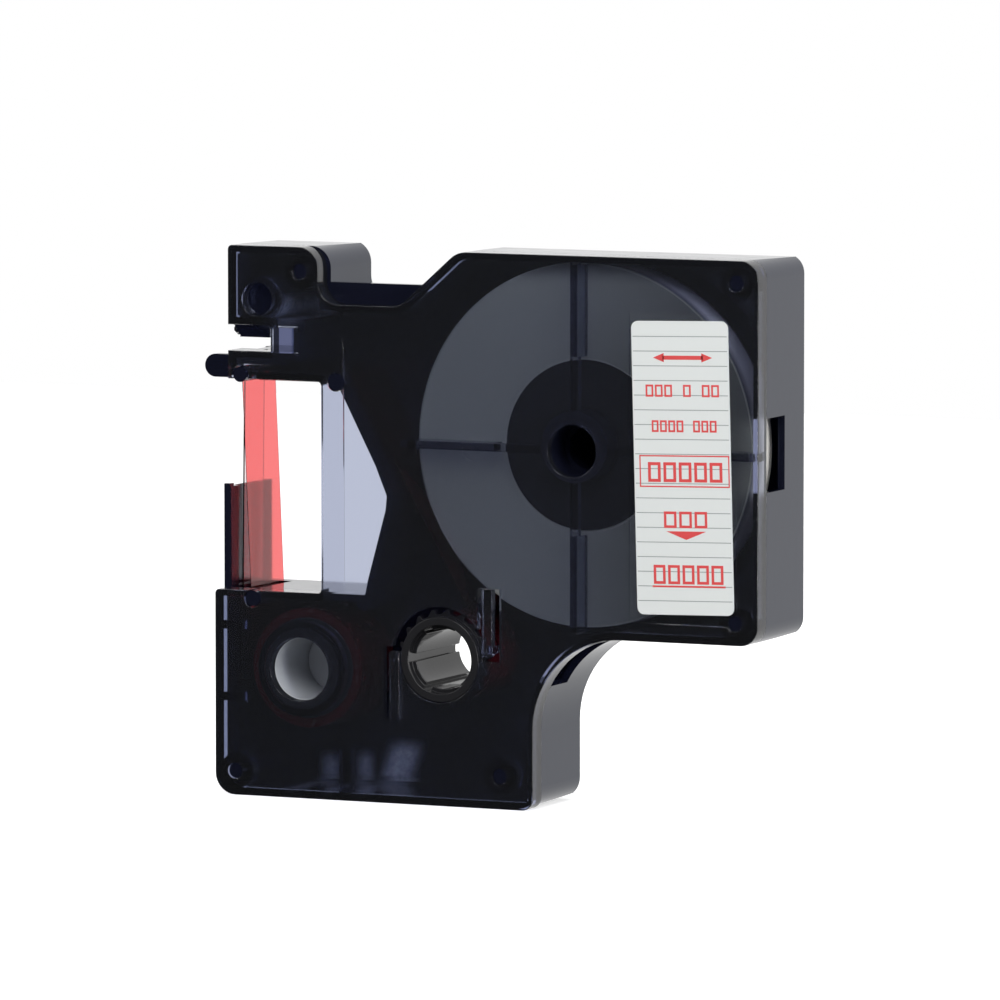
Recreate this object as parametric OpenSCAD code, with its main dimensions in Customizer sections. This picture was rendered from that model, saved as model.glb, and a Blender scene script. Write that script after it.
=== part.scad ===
// Label tape cassette: tape and thermal ribbon in a thin two-part plastic housing.
// The outline is drawn flat, x to the right and z up, and every piece is built by its
// depth behind the front face. stand() then stands the cassette up on its reel block.

/* [Housing] */
// Depth from the front face to the back face
housing_depth = 16; // [15.6:0.1:18]
// Depth of the cover, from the front face to the parting line
cover_depth = 3; // [2.9:0.1:3.1]
// Thickness of the front and back plates
plate = 1.2; // [1:0.1:1.2]
// Thickness of the side walls
wall = 1; // [0.9:0.1:1]
// Right side of the tape chamber, measured from the left side of the reel block
chamber_right = 81.75; // [81:0.25:84]
// Height of the tape chamber's top
chamber_top = 76.4; // [76.2:0.1:80]
// Height of the tape chamber's underside
chamber_floor = 24.1; // [23.5:0.1:24.1]
// Width of the reel block at the bottom
block_width = 48.3; // [48:0.1:49]
// Height of the reel block, which is the bottom of the print-head window
block_height = 28.6; // [28.5:0.1:29]
// How much lower the base is at the back than at the parting line, as mould draft
draft = 0.5; // [0.2:0.1:0.6]

/* [Print-head window and arm] */
// Top of the print-head window
window_top = 57.9; // [57.6:0.1:58]
// Right edge of the window in the cover
window_right = 16.3; // [14:0.1:17]
// Left side of the arm and of the finger below it
arm_left = 2.06; // [1.9:0.02:2.2]
// Right side of the arm
arm_right = 15.85; // [15:0.05:17]
// Floor of the notch between the arm and the tape chamber
notch_floor = 68.6; // [68:0.1:69]
// Underside of the arm, which is the top of the tape slot
slot_top = 65.4; // [65.2:0.1:65.8]
// Top of the finger, which is the bottom of the tape slot
slot_floor = 61.8; // [61.6:0.1:62]
// Slope of the shoulder from the notch up to the chamber's top, in degrees
shoulder_angle = 41.8; // [38:0.2:44]

/* [Tape] */
// Width of the label tape
tape_width = 6; // [5:0.5:6]
// Outer radius of the full tape roll
tape_roll_r = 25; // [20:0.1:25]
// Outer radius of the tape core
tape_core_r = 11.7; // [9:0.1:12]
// Thickness of the label tape with its backing
tape_thick = 0.22; // [0.15:0.01:0.22]

/* [Ribbon] */
// Width of the ribbon
ribbon_width = 10.4; // [8:0.1:10.4]
// Thickness that the ribbon is drawn at
ribbon_thick = 0.08; // [0.05:0.01:0.1]
// Outer radius of the ribbon wound on the supply core
supply_roll_r = 8.3; // [7.6:0.1:8.4]
// Outer radius of the ribbon wound on the take-up core
takeup_roll_r = 6.05; // [5.95:0.05:6.1]

/* [Take-up ratchet] */
// Number of ratchet teeth
teeth = 18; // [12:1:24]
// Radius over the tooth tips
tooth_tip_r = 6.9; // [6.7:0.05:6.9]
// Radius at the tooth roots
tooth_root_r = 6.2; // [6:0.05:6.4]
// Width of a pawl finger
pawl_width = 1.6; // [1.4:0.1:1.6]

/* [Label] */
// Width of the front label
label_width = 14.3; // [12:0.1:14.6]
// Height of the front label
label_height = 40; // [30:0.1:40.2]
// Thickness of the label
label_thick = 0.12; // [0.08:0.01:0.2]
// How far the label leans, in degrees anticlockwise
label_lean = 1.5; // [0:0.1:1.5]

/* [Hidden] */

$fn = 64;
eps = 0.01;
far = 5;                       // how far a cutting shape runs past what it cuts
run_gap = 0.08;                // radial clearance of a running fit
mid_depth = housing_depth / 2;
inner_back = housing_depth - plate;
base_depth = housing_depth - cover_depth;

// the chamber and the concave corner beside the reel block
corner_r = 13;                 // concave corner between the reel block and the chamber
corner_c = [block_width + corner_r, chamber_floor - corner_r];
chamber_r = 2.6;               // rounding of the chamber's two right corners
arm_r = 3;                     // rounding of the arm's top right corner and of the notch
block_r = 3;                   // rounding of the reel block's lower left corner
small_r = 0.6;                 // rounding of the other corners
shoulder_foot = 28.2;          // where the shoulder meets the notch floor
shoulder_r = 3.5;              // rounding at the top of the shoulder
fence_top = notch_floor + 2.9; // top of the low wall across the notch

// the print-head cavity in the base is wider than the window in the cover
cavity_top = window_top - 0.3;
cavity_side = [[18.4, cavity_top], [24.2, 46.5], [25.9, 42.4], [25.7, 40.4],
               [23, 30.6], [22.6, block_height]];
cavity_lip = 1.7;              // how far the cavity wall reaches up into the cover
slot_end = 8.6;                // right end of the tape slot in the cover
base_slot_end = 11.6;          // and in the base
arm_step = 0.6;                // how far the base's arm stands out beyond the cover's
guide_wall_top = 42.6;         // top of the wall outside the tape, left of the window
tongue_tip = -2.9;             // left end of the tongue beside the finger
tongue_depth = 1.4;

// axes of the three spools, and the posts that the tape and the ribbon run round
spool_c = [54.15, 50.2];
centre_c = [54.15, 49.7];      // the hole inside the spool's tube, a little below its axis
supply_c = [12.93, 17.9];
takeup_c = [34.2, 20.2];
finger_post = [3.9, 58.5];
neck_post = [18.6, 57.9];
sill_post = [5.8, 27.5];
inner_post = [22.4, 27.5];
turn_post = [45.4, 11.4];
left_pin = [3, 3.35];
right_pin = [43.3, 4.5];
tape_end = [2.25, 61];         // free end of the tape, between tongue and finger

// press pins: the base's pins close the housing in these holes of the cover
arm_pin = [13, 73];
top_pin = [chamber_right - 3.25, chamber_top - 3.1];
low_pin = [chamber_right - 3.4, chamber_floor + 3];
press_pins = [arm_pin, top_pin, low_pin, left_pin, right_pin];
press_r = 1.1;
press_boss_r = 2.5;
press_sunk = 0.5;              // how far the pins' ends lie behind the front face

// bores
centre_r = 3.6;                // hole on the tape spool's axis
centre_deep_r = 3;             // its narrower inner stretch
centre_step = 6;               // depth where it narrows
spindle_tube_r = 4.92;         // tube that the tape core turns on
supply_hole_r = 4.42;
supply_bore_r = 4.3;
supply_neck_r = 5.62;          // front journal of the supply core
supply_core_r = 7;
drive_r = 4.2;                 // lands of the take-up core's splined bore
drive_groove_r = 4.77;
drive_grooves = 6;
groove_angle = 14;
takeup_rim_r = 5.86;           // front journal of the take-up core
takeup_tail_r = 5.4;           // its back journal
takeup_core_r = 5.8;
locator_c = [arm_left + 4.45, 69];
locator_r = 2.3;               // blind hole in the arm
locator_floor = 2.2;
ratchet_top = 1.6;             // depth of the ratchet ring
ratchet_back = 2.8;
ratchet_window_r = 7.3;        // the cover is open over the teeth between the pawls

// the label lies in a shallow recess, and a second one is left empty
label_c = [70.6, 48];
label_recess = 0.25;
label_pocket = [62.7, 26.7, 78.6, 68.9];
panel_pocket = [19.8, 29, 30.7, 65.2];
panel_recess = 0.2;
gate_c = [39.7, 49.6];
gate_r = 1.9;

// the view window in the chamber's right wall, open at the parting line
view_low = 44.8;
view_high = 54.9;
view_back = 9.3;
corner_view = [112, 153];      // the opening in the concave corner, as angles
corner_view_back = 8.5;

tape_front = mid_depth - tape_width / 2;
tape_back = mid_depth + tape_width / 2;
ribbon_front = cover_depth + 0.1;
ribbon_back = ribbon_front + ribbon_width;
disc_thick = 0.15;
disc_gap = 0.1;

// the lower pawl; the upper one is the same finger, turned half way round
pawl_left = takeup_c.x - 7.65;
pawl_root = 11.7;
pawl_tip = 21.1;
upper_shift = [-0.35, -1.6];   // the upper pawl's offset, before the half turn
lower_toe = 0.55;              // width of each toe, which stops short of the teeth
upper_toe = 1.1;
lower_room = [0.75, 0.45];     // slot outside and inside of the finger
upper_room = [1.1, 0.6];

smoke = [0.16, 0.17, 0.26, 0.55];
black = [0.07, 0.07, 0.1];
red_film = [0.9, 0.2, 0.2, 0.5];
clear_film = [0.85, 0.88, 0.9, 0.5];

// ---- placing -------------------------------------------------------------

x_middle = (tongue_tip + chamber_right) / 2;

// stands the flat drawing up: x stays, drawing height becomes +Z, depth becomes +Y
module stand() {
    translate([-x_middle, 0, 0]) rotate([90, 0, 0]) children();
}

// a slab of a flat shape between two depths behind the front face
module slab(front, back) {
    translate([0, 0, mid_depth - back]) linear_extrude(back - front) children();
}

module disc(c, r, front, back) {
    translate([c.x, c.y, mid_depth - back]) cylinder(r = r, h = back - front);
}

module ring(c, inner, outer, front, back) {
    difference() {
        disc(c, outer, front, back);
        disc(c, inner, front - eps, back + eps);
    }
}

// ---- flat shapes ---------------------------------------------------------

module rect(x0, z0, x1, z1) {
    translate([x0, z0]) square([x1 - x0, z1 - z0]);
}

// the piece between a corner point and a circle that touches both its edges.
// a and b are the directions, in degrees, of the edges that leave the corner.
// Taken away it rounds an outer corner, and added it fills an inner one.
module corner_piece(p, a, b, r) {
    half = (b - a) / 2;
    reach = r / tan(half);
    c = p + r / sin(half) * [cos(a + half), sin(a + half)];
    difference() {
        polygon([p - 0.05 * [cos(a + half), sin(a + half)],
                 p + reach * [cos(a), sin(a)], c, p + reach * [cos(b), sin(b)]]);
        translate(c) circle(r);
    }
}

// the part of a ring between two angles
module ring_part(c, inner, outer, a0, a1) {
    steps = ceil((a1 - a0) / 45);
    translate(c) intersection() {
        difference() {
            circle(outer);
            if (inner > 0) circle(inner);
        }
        polygon(concat([[0, 0]], [for (i = [0 : steps])
            2 * outer * [cos(a0 + (a1 - a0) * i / steps), sin(a0 + (a1 - a0) * i / steps)]]));
    }
}

function shoulder_x(z, w) = shoulder_foot + (z - notch_floor) / tan(shoulder_angle)
                            + w / sin(shoulder_angle);

// the shoulder's slope, with its two rounded ends, drawn w inside the outside face
module shoulder(w) {
    foot = [shoulder_x(notch_floor - w, w), notch_floor - w];
    crown = [shoulder_x(chamber_top - w, w), chamber_top - w];
    difference() {
        polygon([foot, crown, [50, crown.y], [50, 60], [foot.x, 60]]);
        corner_piece(crown, -180 + shoulder_angle, 0, shoulder_r - w);
    }
    corner_piece(foot, shoulder_angle, 180, arm_r + w);
}

module reel_block(w) {
    right = block_width - w;
    difference() {
        rect(w, w, right, block_height - w);
        corner_piece([w, w], 0, 90, block_r - w);
        corner_piece([right, w], 90, 180, 1.6 - w);
        if (w == 0) corner_piece([0, block_height], -90, 0, small_r);
    }
    difference() {
        rect(40, corner_c.y, corner_c.x, corner_c.y + corner_r + 8);
        translate(corner_c) circle(corner_r + w);
    }
}

module chamber(w) {
    right = chamber_right - w;
    difference() {
        rect(44, chamber_floor + w, right, chamber_top - w);
        corner_piece([right, chamber_floor + w], 90, 180, chamber_r - w);
        corner_piece([right, chamber_top - w], 180, 270, chamber_r - w);
    }
}

module arm(w) {
    right = arm_right - w;
    difference() {
        rect(arm_left + w, 50, right, chamber_top - w);
        corner_piece([right, chamber_top - w], 180, 270, arm_r - w);
        if (w == 0) corner_piece([arm_left, chamber_top], -90, 0, small_r);
    }
    corner_piece([right, notch_floor - w], 0, 90, arm_r + w);
}

// the whole outside, with no window and no slot, drawn w inside the outside face
module outline(w) {
    reel_block(w);
    chamber(w);
    shoulder(w);
    arm(w);
    rect(arm_left + w, block_height - 5, 50, notch_floor - w);
}

// the window and the slot of the cover, spread by w above and below
module cover_gaps(w) {
    difference() {
        rect(-far, block_height - w, window_right, window_top + w);
        if (w == 0) {
            corner_piece([window_right, block_height], 90, 180, small_r);
            corner_piece([window_right, window_top], 180, 270, small_r);
        }
    }
    difference() {
        rect(-far, slot_floor - w, slot_end, slot_top + w);
        if (w == 0) corner_piece([slot_end, slot_top], 180, 270, small_r);
    }
}

// the print-head cavity and the tape slot of the base, spread by w all round
module base_gaps(w) {
    side = [for (p = cavity_side) p + [w, 0]];
    top = cavity_top + w;
    floor_z = block_height - w;
    polygon(concat([[-far, top], [side[0].x, top]], side,
                   [[side[5].x, floor_z], [-far, floor_z]]));
    rect(-far, slot_floor - 0.3 - w, base_slot_end + w, slot_top - 0.2 + w);
}

// the ribbed nose under the arm, which keeps the tape from sticking to it
module nose() {
    low = slot_top - 1.9;
    difference() {
        rect(1.6, low, slot_end - 1.6, slot_top + 0.4);
        for (i = [0 : 3])
            translate([1.55 + 0.28 * i, low + 1.45 - 0.42 * i]) circle(0.17);
        polygon([[1, low - 1], [1, low + 1.4], [2.75, low - 0.2], [2.75, low - 1]]);
    }
}

// ---- webs of tape and ribbon ----------------------------------------------

// A web runs round a list of circles [centre, r]. r is positive where it turns
// anticlockwise round the circle, and negative where it turns clockwise.
function centre(web, i) = web[i][0];
function turn_r(web, i) = web[i][1];

// direction of the straight stretch from circle i to the next one
function heading(web, i) =
    let (d = centre(web, i + 1) - centre(web, i))
    atan2(d.y, d.x) - asin((turn_r(web, i + 1) - turn_r(web, i)) / norm(d));

// where a web that runs in direction a touches circle i
function touch(web, i, a) = centre(web, i) + turn_r(web, i) * [sin(a), -cos(a)];

module straight(web, i, thick, trim = 0) {
    a = heading(web, i);
    from = touch(web, i, a);
    length = norm(touch(web, i + 1, a) - from) - trim;
    translate(from) rotate(a) translate([trim, -thick / 2]) square([length, thick]);
}

// how far the web turns round circle i, which it always passes clockwise
function turned(web, i) = -((heading(web, i - 1) - heading(web, i) + 720) % 360);

// one side of the web, along the bends from circle first to circle last, and the points
// that lie the distances in leads ahead of where it leaves the circle before them
function web_side(web, side, first, last, leads) = concat(
    [for (lead = leads)
        let (a = heading(web, first - 1))
        touch(web, first - 1, a) + lead * [cos(a), sin(a)] + side * [sin(a), -cos(a)]],
    [for (i = [first : last]) for (k = [0 : bend_steps])
        let (a = heading(web, i - 1) + turned(web, i) * k / bend_steps)
        touch(web, i, a) + side * [sin(a), -cos(a)]],
    [let (a = heading(web, last)) touch(web, last + 1, a) + side * [sin(a), -cos(a)]]);

// the web from its bend round circle first to where it meets circle last + 1
module bends(web, first, last, thick, leads = []) {
    right = web_side(web, thick / 2, first, last, leads);
    left = web_side(web, -thick / 2, first, last, leads);
    n = len(left);
    polygon(concat(right, [for (i = [1 : n]) left[n - i]]));
}

bend_steps = 12;               // flats that a bend is drawn with
web_gap = 0.05;                // room between a web and a post or roll
post_r = 1.2;
right_pin_r = 1.6;
turn_post_r = 1.1;
finger_post_r = 1.05;
face_gap = 0.1;                // how far the guide posts' ends lie behind the front face

tape_path = [[spool_c, tape_roll_r + tape_thick / 2 + web_gap],
             [turn_post, -turn_post_r - tape_thick / 2 - web_gap],
             [right_pin, -right_pin_r - tape_thick / 2 - web_gap],
             [left_pin, -post_r - tape_thick / 2 - web_gap],
             [tape_end, 0]];

ribbon_path = [[supply_c, -supply_roll_r - ribbon_thick / 2 - web_gap],
               [finger_post, -finger_post_r - ribbon_thick / 2 - web_gap],
               [neck_post, -post_r - ribbon_thick / 2 - web_gap],
               [takeup_c, -takeup_roll_r - ribbon_thick / 2 - web_gap]];

// everything above or below the level where the tape comes out of the reel block
module above_sill() { rect(-far, block_height, 100, 100); }

// ---- housing -------------------------------------------------------------

// slanted cuts that give the base its draft, between the parting line and the back
module draft_cuts() {
    parting = mid_depth - cover_depth;
    // under the reel block and under the chamber
    for (cut = [[-far, 0, 1.5 * draft], [corner_c.x, chamber_floor, draft]])
        translate([cut[0], cut[1], parting]) rotate([atan(cut[2] / base_depth), 0, 0])
            translate([0, -far, -2 * base_depth]) cube([60, far, 2 * base_depth]);
    // on top
    translate([-far, chamber_top, parting]) rotate([-atan(0.7 * draft / base_depth), 0, 0])
        translate([0, 0, -2 * base_depth]) cube([100, far, 2 * base_depth]);
}

module base_outside() {
    difference() {
        slab(cover_depth, housing_depth) difference() {
            union() {
                outline(0);
                translate([arm_step, 0]) arm(0);
            }
            base_gaps(0);
            corner_piece([block_width, 0], 90, 180, block_r);
            corner_piece([arm_left, chamber_top], -90, 0, small_r);
        }
        draft_cuts();
    }
}

// the wall of the cavity reaches up to the cover's plate
module cavity_lip() {
    slab(cover_depth - cavity_lip, cover_depth + eps) difference() {
        intersection() {
            base_gaps(1);
            rect(window_right + wall + 0.2, block_height - 1, 40, cavity_top + 0.6);
        }
        base_gaps(0);
    }
}

module base_posts() {
    for (p = press_pins) disc(p, press_r - 0.02, press_sunk, cover_depth + eps);
    for (p = [arm_pin, top_pin, low_pin])
        disc(p, press_boss_r - 0.6, cover_depth, inner_back + eps);
    disc(left_pin, post_r, cover_depth, inner_back + eps);
    disc(right_pin, right_pin_r, cover_depth, inner_back + eps);
    disc(turn_post, turn_post_r, cover_depth + 1, inner_back + eps);
    disc(inner_post, turn_post_r, plate + 0.1, inner_back + eps);
    disc(sill_post, turn_post_r, face_gap, inner_back + eps);
    disc(finger_post, finger_post_r, face_gap, inner_back + eps);
    disc(neck_post, post_r, face_gap, inner_back + eps);
    disc(locator_c, locator_r + 0.15, locator_floor, cover_depth + eps);
    disc(locator_c, locator_r + 0.8, cover_depth, inner_back + eps);
}

// the wall left of the window that guides the outside of the tape
module guide_wall() {
    web = 0.35;
    low = block_height - 1;
    slab(cover_depth, housing_depth) rect(0, low, web, guide_wall_top);
    slab(cover_depth, 5.5) rect(0, low, 1, guide_wall_top);
    slab(cover_depth, 4.2) rect(0, low, 0.9, guide_wall_top + 0.4);
    slab(12, housing_depth) rect(0, low, 1, guide_wall_top);
}

// the tongue left of the finger, which guides the tape's front edge
module tongue() {
    r = 1.6;
    z = slot_floor - 2.4;
    slab(cover_depth, cover_depth + tongue_depth) {
        translate([tongue_tip + r, z]) circle(r);
        rect(tongue_tip + r, z - r, arm_left + 0.4, z + r);
        rect(arm_left, z + 0.7, arm_left + 4, slot_floor);
    }
}

// a lip that stands inside the cover's left wall, along the arm
module arm_lip() {
    left = arm_left + wall + 0.1;
    low = slot_top + wall + 0.2;
    high = chamber_top - wall - 0.2;
    difference() {
        union() {
            slab(plate + 0.1, cover_depth + 1) rect(left, low, left + 0.6, high);
            slab(cover_depth, cover_depth + 1) rect(left - 0.3, low, left + 0.1, high);
        }
        disc(locator_c, locator_r + 0.9, plate, cover_depth);
    }
}

// the thick upper wall of the finger, over the ribbon
module finger_roof() {
    low = finger_post.y + finger_post_r + ribbon_thick + web_gap + 0.1;
    slab(cover_depth, inner_back + eps) rect(arm_left + 0.8, low, finger_post.x + 6, slot_floor - 0.4);
}

// the low wall across the notch
module fence() {
    slab(cover_depth, cover_depth + plate)
        polygon([[arm_right - 1, fence_top], [arm_right - 1, notch_floor - 1],
                 [shoulder_foot, notch_floor - 1], [shoulder_x(fence_top, 0.5), fence_top]]);
}

module base_shell() {
    color(black) stand() difference() {
        union() {
            difference() {
                base_outside();
                slab(cover_depth - far, inner_back) difference() {
                    outline(wall);
                    base_gaps(wall);
                }
                // where the tape and the ribbon leave the reel block
                slab(cover_depth - eps, ribbon_back + 0.4)
                    rect(1, block_height - wall - 1, sill_post.x - 0.6, block_height + 1);
                // where they pass the end of the finger
                slab(cover_depth - eps, ribbon_back + 0.4)
                    rect(-far, cavity_top - 1, finger_post.x + 1.6, slot_floor - 1);
                slab(tape_front - 1, tape_back + 1)
                    rect(-far, cavity_top - 1, arm_left + 0.8, slot_floor + 1);
                // view window in the right wall and opening in the concave corner
                slab(cover_depth - eps, view_back)
                    rect(chamber_right - wall - 1, view_low, chamber_right + 1, view_high);
                slab(cover_depth - eps, corner_view_back)
                    ring_part(corner_c, corner_r - 1, corner_r + wall + 0.5,
                              corner_view[0], corner_view[1]);
            }
            base_posts();
            cavity_lip();
            guide_wall();
            tongue();
            fence();
            arm_lip();
            finger_roof();
            slab(cover_depth, cover_depth + plate) nose();
            // tube for the tape core, stub for the supply core, pads under the roll
            disc(spool_c, spindle_tube_r, plate + 0.05, inner_back + eps);
            disc(supply_c, supply_bore_r - run_gap, inner_back - 3, inner_back + eps);
            for (a = [45 : 90 : 315])
                slab(tape_back + 0.5, inner_back + eps) translate(spool_c)
                    rotate(a) translate([8, -0.4]) square([15, 0.8]);
        }
        disc(centre_c, centre_r, 0, centre_step);
        disc(centre_c, centre_deep_r, 0, inner_back);
        disc(takeup_c, takeup_tail_r + run_gap, inner_back - eps, housing_depth + 1);
    }
}

// pockets sunk into the cover's outer face
module cover_pockets() {
    slab(-1, label_recess)
        rect(label_pocket[0], label_pocket[1], label_pocket[2], label_pocket[3]);
    slab(-1, panel_recess)
        rect(panel_pocket[0], panel_pocket[1], panel_pocket[2], panel_pocket[3]);
    difference() {
        disc(gate_c, gate_r, -1, 0.15);
        disc(gate_c, 0.4, -2, 1);
    }
    ring([29.7, 34.5], 1.4, 1.7, -1, 0.1);
}

// the slot round the lower pawl, with room outside and inside of the finger
module pawl_slot(room) {
    slab(-1, plate + 1) rect(pawl_left - room[0], pawl_root,
                             pawl_left + pawl_width + room[1], pawl_tip + 0.7);
}

// moves the lower pawl to the upper one's place
module to_upper() {
    translate([takeup_c.x, takeup_c.y, 0]) rotate([0, 0, 180])
        translate([upper_shift.x - takeup_c.x, upper_shift.y - takeup_c.y, 0]) children();
}

// the cross of ribs over the chamber
module rib_cross() {
    rib = 1.1;
    rect(centre_c.x - rib / 2, chamber_floor + 0.5, centre_c.x + rib / 2, chamber_top - 0.5);
    rect(28, centre_c.y - rib / 2, chamber_right - 0.5, centre_c.y + rib / 2);
}

module cover_ribs() {
    slab(plate - eps, plate * 2) {
        rib_cross();
        rect(18.7, 0.5, 20.5, 7);
        rect(0.5, 13, 4, 14.2);
        rect(0.5, 23, 4, 24.2);
    }
}

// over the roll the ribs reach down to just above the slip disc
module roll_ribs() {
    slab(plate, tape_front - disc_gap - disc_thick - 0.2) intersection() {
        rib_cross();
        difference() {
            outline(wall + 0.4);
            translate(spool_c) circle(tape_core_r + 0.6);
        }
    }
}

module cover() {
    color(smoke) stand() difference() {
        union() {
            difference() {
                slab(0, cover_depth) difference() {
                    outline(0);
                    cover_gaps(0);
                }
                slab(plate, cover_depth + 1) difference() {
                    outline(wall);
                    cover_gaps(wall);
                }
            }
            intersection() {
                cover_ribs();
                slab(0, cover_depth) outline(0.1);
            }
            roll_ribs();
            for (p = press_pins) intersection() {
                disc(p, press_boss_r, plate - eps, cover_depth);
                slab(0, cover_depth) outline(0.1);
            }
            // a lug that closes the end of the base's slot
            slab(plate - eps, cover_depth + 1)
                rect(slot_end + 0.1, slot_floor - 0.2, base_slot_end - 0.1, slot_top - 0.3);
            ring(supply_c, supply_neck_r + run_gap, supply_neck_r + 1, plate - eps, plate * 2);
            disc(locator_c, locator_r + 0.8, plate - eps, locator_floor - 0.05);
        }
        for (p = press_pins) disc(p, press_r, -1, cover_depth + 1);
        disc(centre_c, centre_r, -1, plate + eps);
        disc(spool_c, spindle_tube_r + 0.1, plate, cover_depth);
        disc(supply_c, supply_hole_r, -1, plate + 1);
        disc(takeup_c, takeup_rim_r + run_gap, -1, plate + eps);
        disc(takeup_c, ratchet_window_r, plate, cover_depth + 1);
        slab(-1, plate + eps) ring_part(takeup_c, 0, ratchet_window_r, 12, 172);
        disc(locator_c, locator_r, -1, cover_depth + 1);
        pawl_slot(lower_room);
        to_upper() pawl_slot(upper_room);
        for (p = [finger_post, sill_post, neck_post])
            disc(p, post_r + run_gap, -1, cover_depth + 1);
        cover_pockets();
    }
}

// ---- label ---------------------------------------------------------------

module front_label() {
    w = label_width / 2;
    h = label_height / 2;
    color("white") stand() slab(label_recess - label_thick, label_recess)
        translate(label_c) rotate(label_lean) difference() {
            rect(-w, -h, w, h);
            for (i = [0 : 3])
                corner_piece([w * [1, -1, -1, 1][i], h * [1, 1, -1, -1][i]],
                             180 + 90 * i, 270 + 90 * i, 1);
        }
}

// ---- tape ----------------------------------------------------------------

module tape_core() {
    bore = spindle_tube_r + run_gap;
    front = tape_front - 0.1;
    back = tape_back + 0.1;
    color(black) stand() {
        ring(spool_c, bore, bore + 1.3, front, back);
        ring(spool_c, bore, tape_core_r, front, front + 1.2);
        ring(spool_c, tape_core_r - 1.2, tape_core_r, front, back);
        slab(front + 1, back) for (a = [0 : 60 : 300])
            translate(spool_c) rotate(a) translate([bore + 1, -0.4])
                square([tape_core_r - bore - 1.8, 0.8]);
    }
}

module tape_roll() {
    color("gainsboro") stand() ring(spool_c, tape_core_r, tape_roll_r, tape_front, tape_back);
}

module front_slip_disc() {
    back = tape_front - disc_gap;
    color(clear_film) stand()
        ring(spool_c, tape_core_r + 0.3, tape_roll_r - 0.2, back - disc_thick, back);
}

module rear_slip_disc() {
    front = tape_back + disc_gap;
    color(clear_film) stand()
        ring(spool_c, tape_core_r + 0.3, tape_roll_r - 0.2, front, front + disc_thick);
}

module tape_inner_run() {
    color(clear_film) stand() slab(tape_front, tape_back) difference() {
        bends(tape_path, 1, 3, tape_thick, [1]);
        above_sill();
    }
}

module tape_window_run() {
    color(clear_film) stand() slab(tape_front, tape_back) intersection() {
        straight(tape_path, 3, tape_thick);
        above_sill();
    }
}

// ---- ribbon --------------------------------------------------------------

module supply_core() {
    front = plate + 0.1;
    shoulder_d = ribbon_front - 0.1;
    back = inner_back - 1.1;
    color(black) stand() difference() {
        union() {
            disc(supply_c, supply_neck_r, front, back);
            disc(supply_c, supply_core_r, shoulder_d, back);
        }
        disc(supply_c, supply_bore_r, 0, housing_depth);
    }
}

module supply_ribbon() {
    color(red_film) stand()
        ring(supply_c, supply_core_r, supply_roll_r, ribbon_front, ribbon_back);
}

module supply_drag_ring() {
    color("dimgray") stand()
        ring(supply_c, supply_bore_r + 0.3, supply_core_r - 0.4, inner_back - 1, inner_back);
}

module ribbon_window_run() {
    color(red_film) stand() slab(ribbon_front, ribbon_back)
        straight(ribbon_path, 0, ribbon_thick, 0.5);
}

module ribbon_return_run() {
    color(red_film) stand() slab(ribbon_front, ribbon_back)
        bends(ribbon_path, 1, 2, ribbon_thick);
}

// one saw tooth, standing on the root circle, that leans anticlockwise
module tooth() {
    step = 360 / teeth;
    polygon([(tooth_root_r - 0.4) * [1, 0],
             tooth_tip_r * [cos(step * 0.12), sin(step * 0.12)],
             tooth_tip_r * [cos(step * 0.3), sin(step * 0.3)],
             (tooth_root_r - 0.4) * [cos(step * 0.95), sin(step * 0.95)]]);
}

module takeup_core() {
    front = 0.2;
    color(black) stand() difference() {
        union() {
            disc(takeup_c, takeup_rim_r, front, ratchet_back);
            disc(takeup_c, tooth_root_r, ratchet_top, ratchet_back);
            slab(ratchet_top, ratchet_back) translate(takeup_c)
                for (i = [0 : teeth - 1]) rotate(i * 360 / teeth) tooth();
            disc(takeup_c, takeup_core_r, ratchet_top, inner_back - 0.2);
            disc(takeup_c, takeup_tail_r, ratchet_top, housing_depth - 0.1);
        }
        disc(takeup_c, drive_r, -1, housing_depth + 1);
        disc(takeup_c, drive_groove_r, -1, front + 1.4);
        slab(front + 1, housing_depth + 1) for (i = [0 : drive_grooves - 1])
            ring_part(takeup_c, drive_r - 0.5, drive_groove_r,
                      60 * i - groove_angle / 2, 60 * i + groove_angle / 2);
    }
}

module takeup_ribbon() {
    color(red_film) stand()
        ring(takeup_c, takeup_core_r, takeup_roll_r, ribbon_front, ribbon_back);
}

// ---- ratchet pawls -------------------------------------------------------

// a springy finger with a toe that reaches down beside the ratchet teeth
module pawl(toe) {
    right = pawl_left + pawl_width;
    slab(0.05, plate) difference() {
        rect(pawl_left, pawl_root + 0.1, right, pawl_tip);
        corner_piece([pawl_left, pawl_tip], -90, 0, 0.4);
    }
    slab(plate - eps, ratchet_back)
        rect(pawl_left, pawl_tip - 1.4, pawl_left + toe, pawl_tip - 0.4);
}

module lower_pawl() {
    color(smoke) stand() pawl(lower_toe);
}

module upper_pawl() {
    color(smoke) stand() to_upper() pawl(upper_toe);
}

base_shell();
cover();
front_label();
tape_core();
tape_roll();
front_slip_disc();
rear_slip_disc();
tape_inner_run();
tape_window_run();
supply_core();
supply_ribbon();
supply_drag_ring();
ribbon_window_run();
ribbon_return_run();
takeup_core();
takeup_ribbon();
lower_pawl();
upper_pawl();
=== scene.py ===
"""Looks of the label tape cassette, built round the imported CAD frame."""

import math

import bmesh
import bpy
from mathutils import Matrix, Vector


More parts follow.
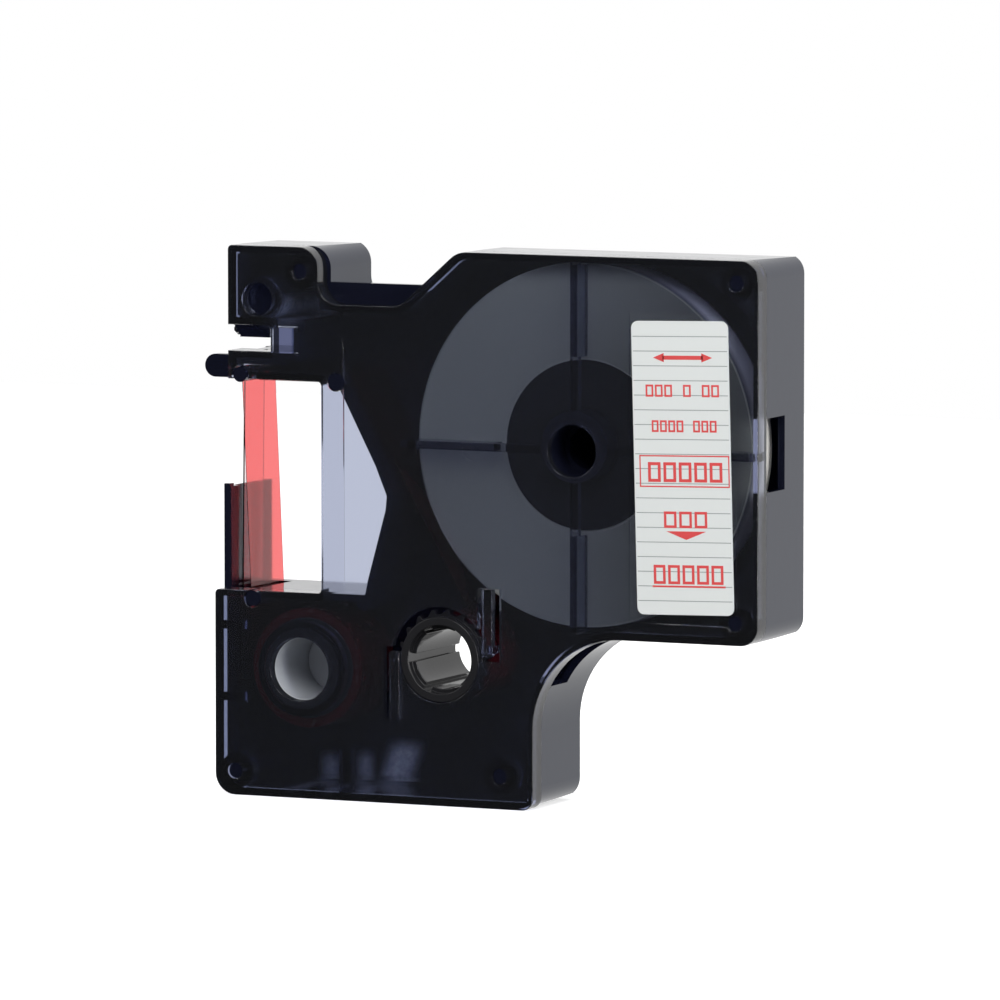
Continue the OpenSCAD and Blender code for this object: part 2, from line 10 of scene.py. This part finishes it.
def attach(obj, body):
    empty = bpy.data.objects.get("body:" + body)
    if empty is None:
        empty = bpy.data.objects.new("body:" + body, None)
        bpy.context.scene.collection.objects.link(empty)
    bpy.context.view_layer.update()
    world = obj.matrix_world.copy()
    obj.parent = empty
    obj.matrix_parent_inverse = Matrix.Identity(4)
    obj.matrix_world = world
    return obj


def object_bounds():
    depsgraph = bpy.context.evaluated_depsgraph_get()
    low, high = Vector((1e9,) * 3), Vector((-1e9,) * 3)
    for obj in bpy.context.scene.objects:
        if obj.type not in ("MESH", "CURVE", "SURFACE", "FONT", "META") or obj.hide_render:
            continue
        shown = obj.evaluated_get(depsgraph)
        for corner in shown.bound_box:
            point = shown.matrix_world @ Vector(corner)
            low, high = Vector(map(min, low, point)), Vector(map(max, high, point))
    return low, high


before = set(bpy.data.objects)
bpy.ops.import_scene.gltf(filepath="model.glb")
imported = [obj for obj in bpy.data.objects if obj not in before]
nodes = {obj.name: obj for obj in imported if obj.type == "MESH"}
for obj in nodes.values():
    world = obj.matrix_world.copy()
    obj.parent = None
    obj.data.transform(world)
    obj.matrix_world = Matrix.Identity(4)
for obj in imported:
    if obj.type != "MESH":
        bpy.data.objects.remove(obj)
cad_low, cad_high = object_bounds()

MM = 0.001
FRONT_Y = cad_low.y            # the cover's outer face
X_MIDDLE = 39.425              # drawing x of the frame's origin, in mm
CORE = (54.15, 50.2)
SUPPLY = (12.93, 17.9)


def at(x, z, depth=0.0):
    """A point given as the part is drawn, in mm from the front face, in the row frame."""
    return Vector(((x - X_MIDDLE) * MM, FRONT_Y + depth * MM, z * MM))


# ---- materials -------------------------------------------------------------

class Mat:
    """A node material with one Principled shader."""

    def __init__(self, name, color, rough=0.3, **sockets):
        self.mat = bpy.data.materials.new(name)
        self.mat.use_nodes = True
        self.tree = self.mat.node_tree
        self.tree.nodes.clear()
        self.out = self.add("ShaderNodeOutputMaterial")
        self.shader = self.add("ShaderNodeBsdfPrincipled")
        self.link(self.shader.outputs[0], self.out.inputs["Surface"])
        self.shader.inputs["Base Color"].default_value = (*color, 1)
        self.shader.inputs["Roughness"].default_value = rough
        for key, value in sockets.items():
            self.shader.inputs[key.replace("_", " ")].default_value = value

    def add(self, kind, **props):
        node = self.tree.nodes.new(kind)
        for key, value in props.items():
            setattr(node, key, value)
        return node

    def link(self, a, b):
        self.tree.links.new(a, b)

    def coords(self):
        return self.add("ShaderNodeTexCoord").outputs["Object"]

    def noise(self, scale, detail=2.0, rough=0.5, vector=None):
        node = self.add("ShaderNodeTexNoise")
        node.inputs["Scale"].default_value = scale
        node.inputs["Detail"].default_value = detail
        node.inputs["Roughness"].default_value = rough
        self.link(vector or self.coords(), node.inputs["Vector"])
        return node.outputs["Fac"]

    def spread(self, value, low, high):
        node = self.add("ShaderNodeMapRange")
        node.inputs["To Min"].default_value = low
        node.inputs["To Max"].default_value = high
        self.link(value, node.inputs["Value"])
        return node.outputs["Result"]

    def step(self, value, start, end):
        """Rises smoothly from 0 to 1 as the value goes from start to end."""
        node = self.add("ShaderNodeMapRange", interpolation_type="SMOOTHSTEP")
        node.inputs["From Min"].default_value = start
        node.inputs["From Max"].default_value = end
        self.link(value, node.inputs["Value"])
        return node.outputs["Result"]

    def math(self, kind, a, b):
        node = self.add("ShaderNodeMath", operation=kind)
        self.link(a, node.inputs[0])
        self.link(b, node.inputs[1])
        return node.outputs[0]

    def mix(self, factor, a, b):
        node = self.add("ShaderNodeMix", data_type="RGBA")
        node.inputs[6].default_value = (*a, 1)
        node.inputs[7].default_value = (*b, 1)
        self.link(factor, node.inputs[0])
        return node.outputs[2]

    def bump(self, height, strength, distance):
        node = self.add("ShaderNodeBump")
        node.inputs["Strength"].default_value = strength
        node.inputs["Distance"].default_value = distance
        self.link(height, node.inputs["Height"])
        self.link(node.outputs["Normal"], self.shader.inputs["Normal"])

    def drive(self, socket, value):
        self.link(value, self.shader.inputs[socket])

    def absorb(self, color, density):
        """Plain absorption inside the solid, with the density in 1/m."""
        node = self.add("ShaderNodeVolumeAbsorption")
        node.inputs["Color"].default_value = (*color, 1)
        node.inputs["Density"].default_value = density
        self.link(node.outputs[0], self.out.inputs["Volume"])

    def lamps_pass(self, tint=(1, 1, 1)):
        """Lets rays from lamps through, so that what is inside is lit."""
        path = self.add("ShaderNodeLightPath")
        clear = self.add("ShaderNodeBsdfTransparent")
        clear.inputs["Color"].default_value = (*tint, 1)
        mixer = self.add("ShaderNodeMixShader")
        self.link(path.outputs["Is Shadow Ray"], mixer.inputs[0])
        self.link(self.shader.outputs[0], mixer.inputs[1])
        self.link(clear.outputs[0], mixer.inputs[2])
        self.link(mixer.outputs[0], self.out.inputs["Surface"])


def smoky_plastic():
    m = Mat("smoky_plastic", (0.86, 0.91, 1.0), 0.09, Transmission_Weight=0.991, IOR=1.46)
    m.absorb((0.02, 0.05, 0.3), 480)
    m.bump(m.noise(220, 3), 0.04, 0.0002)
    m.lamps_pass((0.9, 0.9, 0.92))
    return m.mat


def within(m, low, high, edge, slant):
    """A factor that is 1 in the box from low to high (x, z, depth in mm), with soft edges.

    slant moves the box to the right by that much for each mm of height.
    """
    axes = m.add("ShaderNodeSeparateXYZ")
    m.link(m.coords(), axes.inputs[0])
    lean = m.add("ShaderNodeMath", operation="MULTIPLY")
    lean.inputs[1].default_value = slant
    m.link(axes.outputs["Z"], lean.inputs[0])
    across = m.math("SUBTRACT", axes.outputs["X"], lean.outputs[0])
    a, b = at(*low), at(*high)
    factor = None
    for value, soft, start, end in ((across, edge, a.x, b.x), (axes.outputs["Z"], edge, a.z, b.z),
                                    (axes.outputs["Y"], 0.1, a.y, b.y)):
        for level, side in ((start, 1), (end, -1)):
            part = m.step(value, level - side * soft * MM, level + side * soft * MM)
            factor = part if factor is None else m.math("MULTIPLY", factor, part)
    return factor


# Painted highlights on the inside of the base, seen through the cover: pale speckled patches that
# stand for light reflected off the inner floor. Each gives low x and z, high x and z, width of
# the soft edge, all in mm, and the slant. They run from the cover to the back plate.
PAINTED_HIGHLIGHTS = [
    ((18.6, 1.2), (22.6, 6.2), 1.4, 0.32),
    ((15.6, 1.0), (17.0, 4.6), 1.2, 0),
    ((9.9, 1.0), (12.0, 4.2), 1.2, 0),
    ((6.4, 66.0), (11.2, 68.4), 1.8, 0),
]
INSIDE_DEPTHS = (3, 15.3)
DARK_COLOR = (0.007, 0.008, 0.017)


def dark_plastic():
    m = Mat("dark_plastic", DARK_COLOR, 0.1, IOR=1.5, Specular_Tint=(0.74, 0.82, 1.0, 1))
    # Each spot is a painted highlight: the base colour turns pale and speckled there, for light
    # reflected off the inner floor.
    highlights = None
    for low, high, edge, slant in PAINTED_HIGHLIGHTS:
        spot = within(m, (*low, INSIDE_DEPTHS[0]), (*high, INSIDE_DEPTHS[1]), edge, slant)
        highlights = spot if highlights is None else m.math("MAXIMUM", highlights, spot)
    highlight_speckle = m.spread(m.noise(1800, 2), 0.2, 0.9)
    m.drive("Base Color", m.mix(m.math("MULTIPLY", highlights, highlight_speckle), DARK_COLOR, (0.9, 0.94, 1.0)))
    m.drive("Roughness", m.spread(m.noise(300, 4), 0.07, 0.16))
    m.bump(m.noise(500, 3), 0.03, 0.0002)
    return m.mat


def reel_plastic():
    m = Mat("reel_plastic", (0.018, 0.018, 0.02), 0.12, IOR=1.5, Specular_IOR_Level=0.33)
    m.drive("Roughness", m.spread(m.noise(600, 4), 0.08, 0.18))
    m.bump(m.noise(900, 3), 0.05, 0.0001)
    return m.mat


def plain(name, color, rough, **sockets):
    m = Mat(name, color, rough, **sockets)
    m.drive("Roughness", m.spread(m.noise(900, 3), rough * 0.8, min(1, rough * 1.25)))
    return m.mat


def film(name, color, density, rough=0.08):
    m = Mat(name, (1, 1, 1), rough, Transmission_Weight=1.0, IOR=1.45)
    m.absorb(color, density)
    m.lamps_pass((0.95, 0.95, 0.95))
    return m.mat


def slip_film():
    """Clear film, with painted shade that darkens it towards the right, where less light reaches
    the roll.
    """
    m = Mat("slip_film", (0.98, 0.98, 0.98), 0.1, Transmission_Weight=1.0, IOR=1.1)
    axes = m.add("ShaderNodeSeparateXYZ")
    m.link(m.coords(), axes.inputs[0])
    painted_shade = m.step(axes.outputs["X"], at(46, 0).x, at(76, 0).x)
    m.drive("Base Color", m.mix(painted_shade, (0.98, 0.98, 0.98), (0.62, 0.62, 0.62)))
    m.lamps_pass((0.95, 0.95, 0.95))
    return m.mat


def tape_backing():
    """The outside of the roll: film over pale backing paper, darkened at its front edge by
    painted shade, so paler towards the back.
    """
    m = Mat("tape_backing", (0.6, 0.58, 0.54), 0.45)
    axes = m.add("ShaderNodeSeparateXYZ")
    m.link(m.coords(), axes.inputs[0])
    unshaded = m.step(axes.outputs["Y"], at(0, 0, 5).y, at(0, 0, 7.5).y)
    m.drive("Base Color", m.mix(unshaded, (0.12, 0.12, 0.12), (0.95, 0.93, 0.88)))
    m.drive("Roughness", m.spread(m.noise(900, 3), 0.35, 0.55))
    return m.mat


SMOKY = smoky_plastic()
DARK = dark_plastic()
REEL = reel_plastic()
PAPER = plain("label_paper", (0.83, 0.86, 0.85), 0.5)
TAPE_SIDE = plain("tape_roll_side", (0.42, 0.42, 0.31), 0.4)
TAPE_BACKING = tape_backing()
TAPE = film("tape_film", (0.8, 0.82, 0.85), 600)
SLIP = slip_film()
RIBBON = film("ribbon_film", (0.985, 0.06, 0.07), 20000)
RIBBON_ROLL = plain("ribbon_roll", (0.05, 0.003, 0.005), 0.25)
FELT = plain("felt", (0.03, 0.03, 0.03), 0.95)
# Pale grey for the supply bore's inner wall: a painted reflection of light that comes through the
# back plate.
BORE_PAINTED_REFLECTION = plain("bore_painted_reflection", (0.47, 0.49, 0.52), 0.2)
# Grey for the base's stub face inside the supply bore: painted light, for light shining through
# the back plate.
STUB_PAINTED_LIGHT = plain("stub_painted_light", (0.5, 0.52, 0.56), 0.3)
INK = plain("red_ink", (0.82, 0.085, 0.085), 0.5)
RULE_INK = plain("grey_ink", (0.3, 0.33, 0.33), 0.5)

FINISH = {
    "base_shell": DARK, "cover": SMOKY, "front_label": PAPER, "tape_core": REEL,
    "tape_roll": TAPE_SIDE, "front_slip_disc": SLIP, "rear_slip_disc": SLIP,
    "tape_inner_run": TAPE, "tape_window_run": TAPE, "supply_core": REEL,
    "supply_ribbon": RIBBON_ROLL, "supply_drag_ring": FELT, "ribbon_window_run": RIBBON,
    "ribbon_return_run": RIBBON, "takeup_core": REEL, "takeup_ribbon": RIBBON_ROLL,
    "lower_pawl": SMOKY, "upper_pawl": SMOKY,
}
for name, obj in nodes.items():
    obj.data.materials.clear()
    obj.data.materials.append(FINISH[name])


def paint(name, material, wanted):
    """Gives a second material to the faces of a CAD node that wanted(centre, normal) picks."""
    mesh = nodes[name].data
    mesh.materials.append(material)
    index = len(mesh.materials) - 1
    for face in mesh.polygons:
        if wanted(face.center, face.normal):
            face.material_index = index


def around(centre, low_r, high_r):
    """A test for the faces between two radii, in mm, about an axis that runs front to back."""
    axis = at(*centre)

    def wanted(point, normal):
        r = math.hypot(point.x - axis.x, point.z - axis.z) / MM
        return abs(normal.y) < 0.5 and low_r < r < high_r
    return wanted


# The roll's outside is pale backing, with painted shade along its front edge.
paint("tape_roll", TAPE_BACKING, around(CORE, 20, 30))
# The bore's inner wall takes the painted reflection instead of the dark reel plastic.
paint("supply_core", BORE_PAINTED_REFLECTION, around(SUPPLY, 3.5, 4.6))
# The base's front-facing stub in the supply bore gets painted light instead of the dark base
# plastic.
paint("base_shell", STUB_PAINTED_LIGHT, lambda point, normal: normal.y < -0.9
      and math.hypot(point.x - at(*SUPPLY).x, point.z - at(*SUPPLY).z) < 4.5 * MM)

# ---- softened edges --------------------------------------------------------

def anywhere(point):
    return True


def on_front(point):
    return point.y < FRONT_Y + 0.05 * MM


def mark_edges(mesh, wanted):
    """Gives a bevel weight to the sharp edges that wanted(point) picks at both ends."""
    def spot(index):
        return tuple(round(c, 6) for c in mesh.vertices[index].co)

    sides = {}
    for face in mesh.polygons:
        for pair in face.edge_keys:
            sides.setdefault(frozenset(map(spot, pair)), []).append(face.normal.copy())
    weight = mesh.attributes.new("bevel_weight_edge", "FLOAT", "EDGE")
    for edge in mesh.edges:
        pair = sides[frozenset(map(spot, edge.vertices))]
        sharp = len(pair) == 2 and pair[0].angle(pair[1], 0) > math.radians(40)
        picked = all(wanted(mesh.vertices[index].co) for index in edge.vertices)
        weight.data[edge.index].value = float(sharp and picked)
        edge.use_edge_sharp = sharp and not picked


def soften(name, width, wanted):
    """Joins a CAD mesh's split faces by modifiers, and rounds its marked edges by width mm."""
    obj = nodes[name]
    mesh = obj.data
    mark_edges(mesh, wanted)
    if "custom_normal" in mesh.attributes:
        mesh.attributes.remove(mesh.attributes["custom_normal"])
    mesh.shade_smooth()
    obj.modifiers.new("weld", "WELD").merge_threshold = 1e-6
    flat = obj.modifiers.new("flats", "DECIMATE")
    flat.decimate_type = "DISSOLVE"
    flat.angle_limit = math.radians(0.5)
    flat.delimit = {"MATERIAL"}
    bevel = obj.modifiers.new("edges", "BEVEL")
    bevel.width = width * MM
    bevel.segments = 2
    bevel.limit_method = "WEIGHT"
    bevel.use_clamp_overlap = False
    bevel.harden_normals = True


EDGES = [
    ("cover", 0.14, on_front), ("takeup_core", 0.12, anywhere), ("supply_core", 0.15, anywhere),
    ("tape_core", 0.15, on_front), ("lower_pawl", 0.12, anywhere), ("upper_pawl", 0.12, anywhere),
]
for name, width, wanted in EDGES:
    soften(name, width, wanted)

# ---- label print -----------------------------------------------------------

LABEL_CENTRE = (70.6, 48.0)
LABEL_LEAN = math.radians(1.5)
PRINT_DEPTH = 0.13             # the label's face
PRINT_LIFT = 0.012


def label_point(u, v, lift=PRINT_LIFT):
    x = LABEL_CENTRE[0] + u * math.cos(LABEL_LEAN) - v * math.sin(LABEL_LEAN)
    z = LABEL_CENTRE[1] + u * math.sin(LABEL_LEAN) + v * math.cos(LABEL_LEAN)
    return at(x, z, PRINT_DEPTH - lift)


def printed(name, shapes, material, lift=PRINT_LIFT):
    """One flat piece on the label, made of convex polygons in label millimetres."""
    bm = bmesh.new()
    for shape in shapes:
        bm.faces.new([bm.verts.new(label_point(u, v, lift)) for u, v in shape])
    mesh = bpy.data.meshes.new(name)
    bm.to_mesh(mesh)
    bm.free()
    obj = bpy.data.objects.new(name, mesh)
    bpy.context.scene.collection.objects.link(obj)
    mesh.materials.append(material)
    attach(obj, "housing")
    return obj


def bar(u0, v0, u1, v1):
    return [(u0, v0), (u1, v0), (u1, v1), (u0, v1)]


def outline(u0, v0, u1, v1, w):
    """The four strokes of a rectangle."""
    return [bar(u0, v0, u1, v0 + w), bar(u0, v1 - w, u1, v1),
            bar(u0, v0 + w, u0 + w, v1 - w), bar(u1 - w, v0 + w, u1, v1 - w)]


def blanks(u0, u1, v0, v1, count, gaps=(), w=0.2):
    """A row of plain hollow boxes that stands in for a printed word."""
    pitch = (u1 - u0) / count
    shapes = []
    for i in range(count):
        if i not in gaps:
            shapes += outline(u0 + i * pitch, v0, u0 + (i + 0.82) * pitch, v1, w)
    return shapes


def label_print():
    rules = [bar(-6.95, 17.9 - 2.0 * i - 0.05, 6.95, 17.9 - 2.0 * i + 0.05)
             for i in range(19)]
    printed("label_rules", rules, RULE_INK, PRINT_LIFT / 2)
    arrow = [bar(-2.6, 14.75, 3.35, 15.3),
             [(-4.0, 15.02), (-2.4, 14.4), (-2.4, 15.65)],
             [(4.75, 15.02), (3.15, 15.65), (3.15, 14.4)]]
    printed("label_arrow", arrow, INK)
    rows = blanks(-5.2, 5.9, 9.7, 11.35, 8, (3, 5), 0.26)
    rows += blanks(-4.4, 5.4, 4.9, 6.5, 8, (4,), 0.26)
    rows += blanks(-5.1, 6.3, -1.9, 0.8, 5, w=0.42)
    rows += blanks(-2.9, 3.9, -8.15, -5.9, 3, w=0.36)
    rows += blanks(-4.6, 6.1, -15.8, -13.2, 5, w=0.38)
    printed("label_blanks", rows, INK)
    frame_box = outline(-6.35, -2.6, 6.95, 1.75, 0.18)
    marker = [[(-2.6, -8.6), (0.35, -9.75), (3.3, -8.6)]]
    line = [bar(-4.8, -16.25, 6.0, -16.0)]
    printed("label_frame", frame_box + marker + line, INK)


label_print()

# ---- stage -----------------------------------------------------------------


def soft_light(name, place, aim, size, power, color=(1, 1, 1)):
    data = bpy.data.lights.new(name, "AREA")
    data.shape = "RECTANGLE"
    data.size, data.size_y = size
    data.energy = power
    data.color = color
    lamp = bpy.data.objects.new(name, data)
    lamp.location = place
    lamp.rotation_euler = (Vector(aim) - Vector(place)).to_track_quat("-Z", "Y").to_euler()
    bpy.context.scene.collection.objects.link(lamp)
    return lamp


def build_world():
    """White for the eye. What plastic mirrors or bends is white behind, dark in front."""
    world = bpy.data.worlds.new("studio")
    world.use_nodes = True
    tree = world.node_tree
    sky = tree.nodes["Background"]
    coords = tree.nodes.new("ShaderNodeTexCoord")
    axes = tree.nodes.new("ShaderNodeSeparateXYZ")
    tree.links.new(coords.outputs["Generated"], axes.inputs[0])
    ramp = tree.nodes.new("ShaderNodeMapRange")
    ramp.interpolation_type = "SMOOTHSTEP"
    ramp.inputs["From Min"].default_value = -0.15
    ramp.inputs["From Max"].default_value = 0.35
    ramp.inputs["To Min"].default_value = 0.02
    ramp.inputs["To Max"].default_value = 1.0
    tree.links.new(axes.outputs["Y"], ramp.inputs["Value"])
    path = tree.nodes.new("ShaderNodeLightPath")
    strength = tree.nodes.new("ShaderNodeMix")
    strength.inputs[3].default_value = 1.0
    tree.links.new(path.outputs["Is Camera Ray"], strength.inputs[0])
    tree.links.new(ramp.outputs["Result"], strength.inputs[2])
    fill = tree.nodes.new("ShaderNodeMix")
    fill.inputs[3].default_value = 0.25
    tree.links.new(path.outputs["Is Diffuse Ray"], fill.inputs[0])
    tree.links.new(strength.outputs[0], fill.inputs[2])
    sky.inputs["Color"].default_value = (1, 1, 1, 1)
    tree.links.new(fill.outputs[0], sky.inputs["Strength"])
    bpy.context.scene.world = world


def build_stage():
    mesh = bpy.data.meshes.new("floor")
    half = 0.6
    low = cad_low.z - 0.0001
    mesh.from_pydata([(-half, -half, low), (half, -half, low), (half, half, low),
                      (-half, half, low)], [], [(0, 1, 2, 3)])
    floor = bpy.data.objects.new("floor", mesh)
    bpy.context.scene.collection.objects.link(floor)
    paper = Mat("floor_paper", (0.9, 0.9, 0.9), 0.9, Emission_Color=(1, 1, 1, 1),
                Emission_Strength=0.6)
    mesh.materials.append(paper.mat)

    floor.visible_glossy = False
    floor.visible_transmission = False
    floor.visible_diffuse = False
    build_world()
    soft_light("front_light", (0.25, -0.7, 0.75), (0, 0, 0.04), (0.6, 0.5), 5)
    soft_light("edge_light", (0.9, -0.42, 0.2), (0, 0, 0.04), (0.1, 0.7), 2.5)
    soft_light("top_light", (0.0, 0.0, 0.7), (0, 0, 0.04), (0.9, 0.9), 2.2)
    soft_light("right_light", (0.8, -0.22, 0.15), (0, 0, 0.04), (0.5, 0.5), 3.7)
    soft_light("left_light", (-0.7, -0.3, 0.45), (0, 0, 0.04), (0.4, 0.5), 1.6)


def build_camera():
    azimuth, elevation = math.radians(24.61), math.radians(5.353)
    distance = 1.4
    aim = Vector((4.033, -8.0, 42.632)) * MM
    away = Vector((math.sin(azimuth) * math.cos(elevation),
                   -math.cos(azimuth) * math.cos(elevation), math.sin(elevation)))
    data = bpy.data.cameras.new("camera")
    data.sensor_width = 36.0
    data.lens = 368.7
    data.clip_start = 0.05
    camera = bpy.data.objects.new("camera", data)
    camera.matrix_world = (Matrix.Translation(aim + distance * away)
                           @ (-away).to_track_quat("-Z", "Y").to_matrix().to_4x4()
                           @ Matrix.Rotation(math.radians(0.008), 4, "Z"))
    bpy.context.scene.collection.objects.link(camera)
    bpy.context.scene.camera = camera


build_stage()
build_camera()
bpy.context.scene.view_settings.view_transform = "Standard"
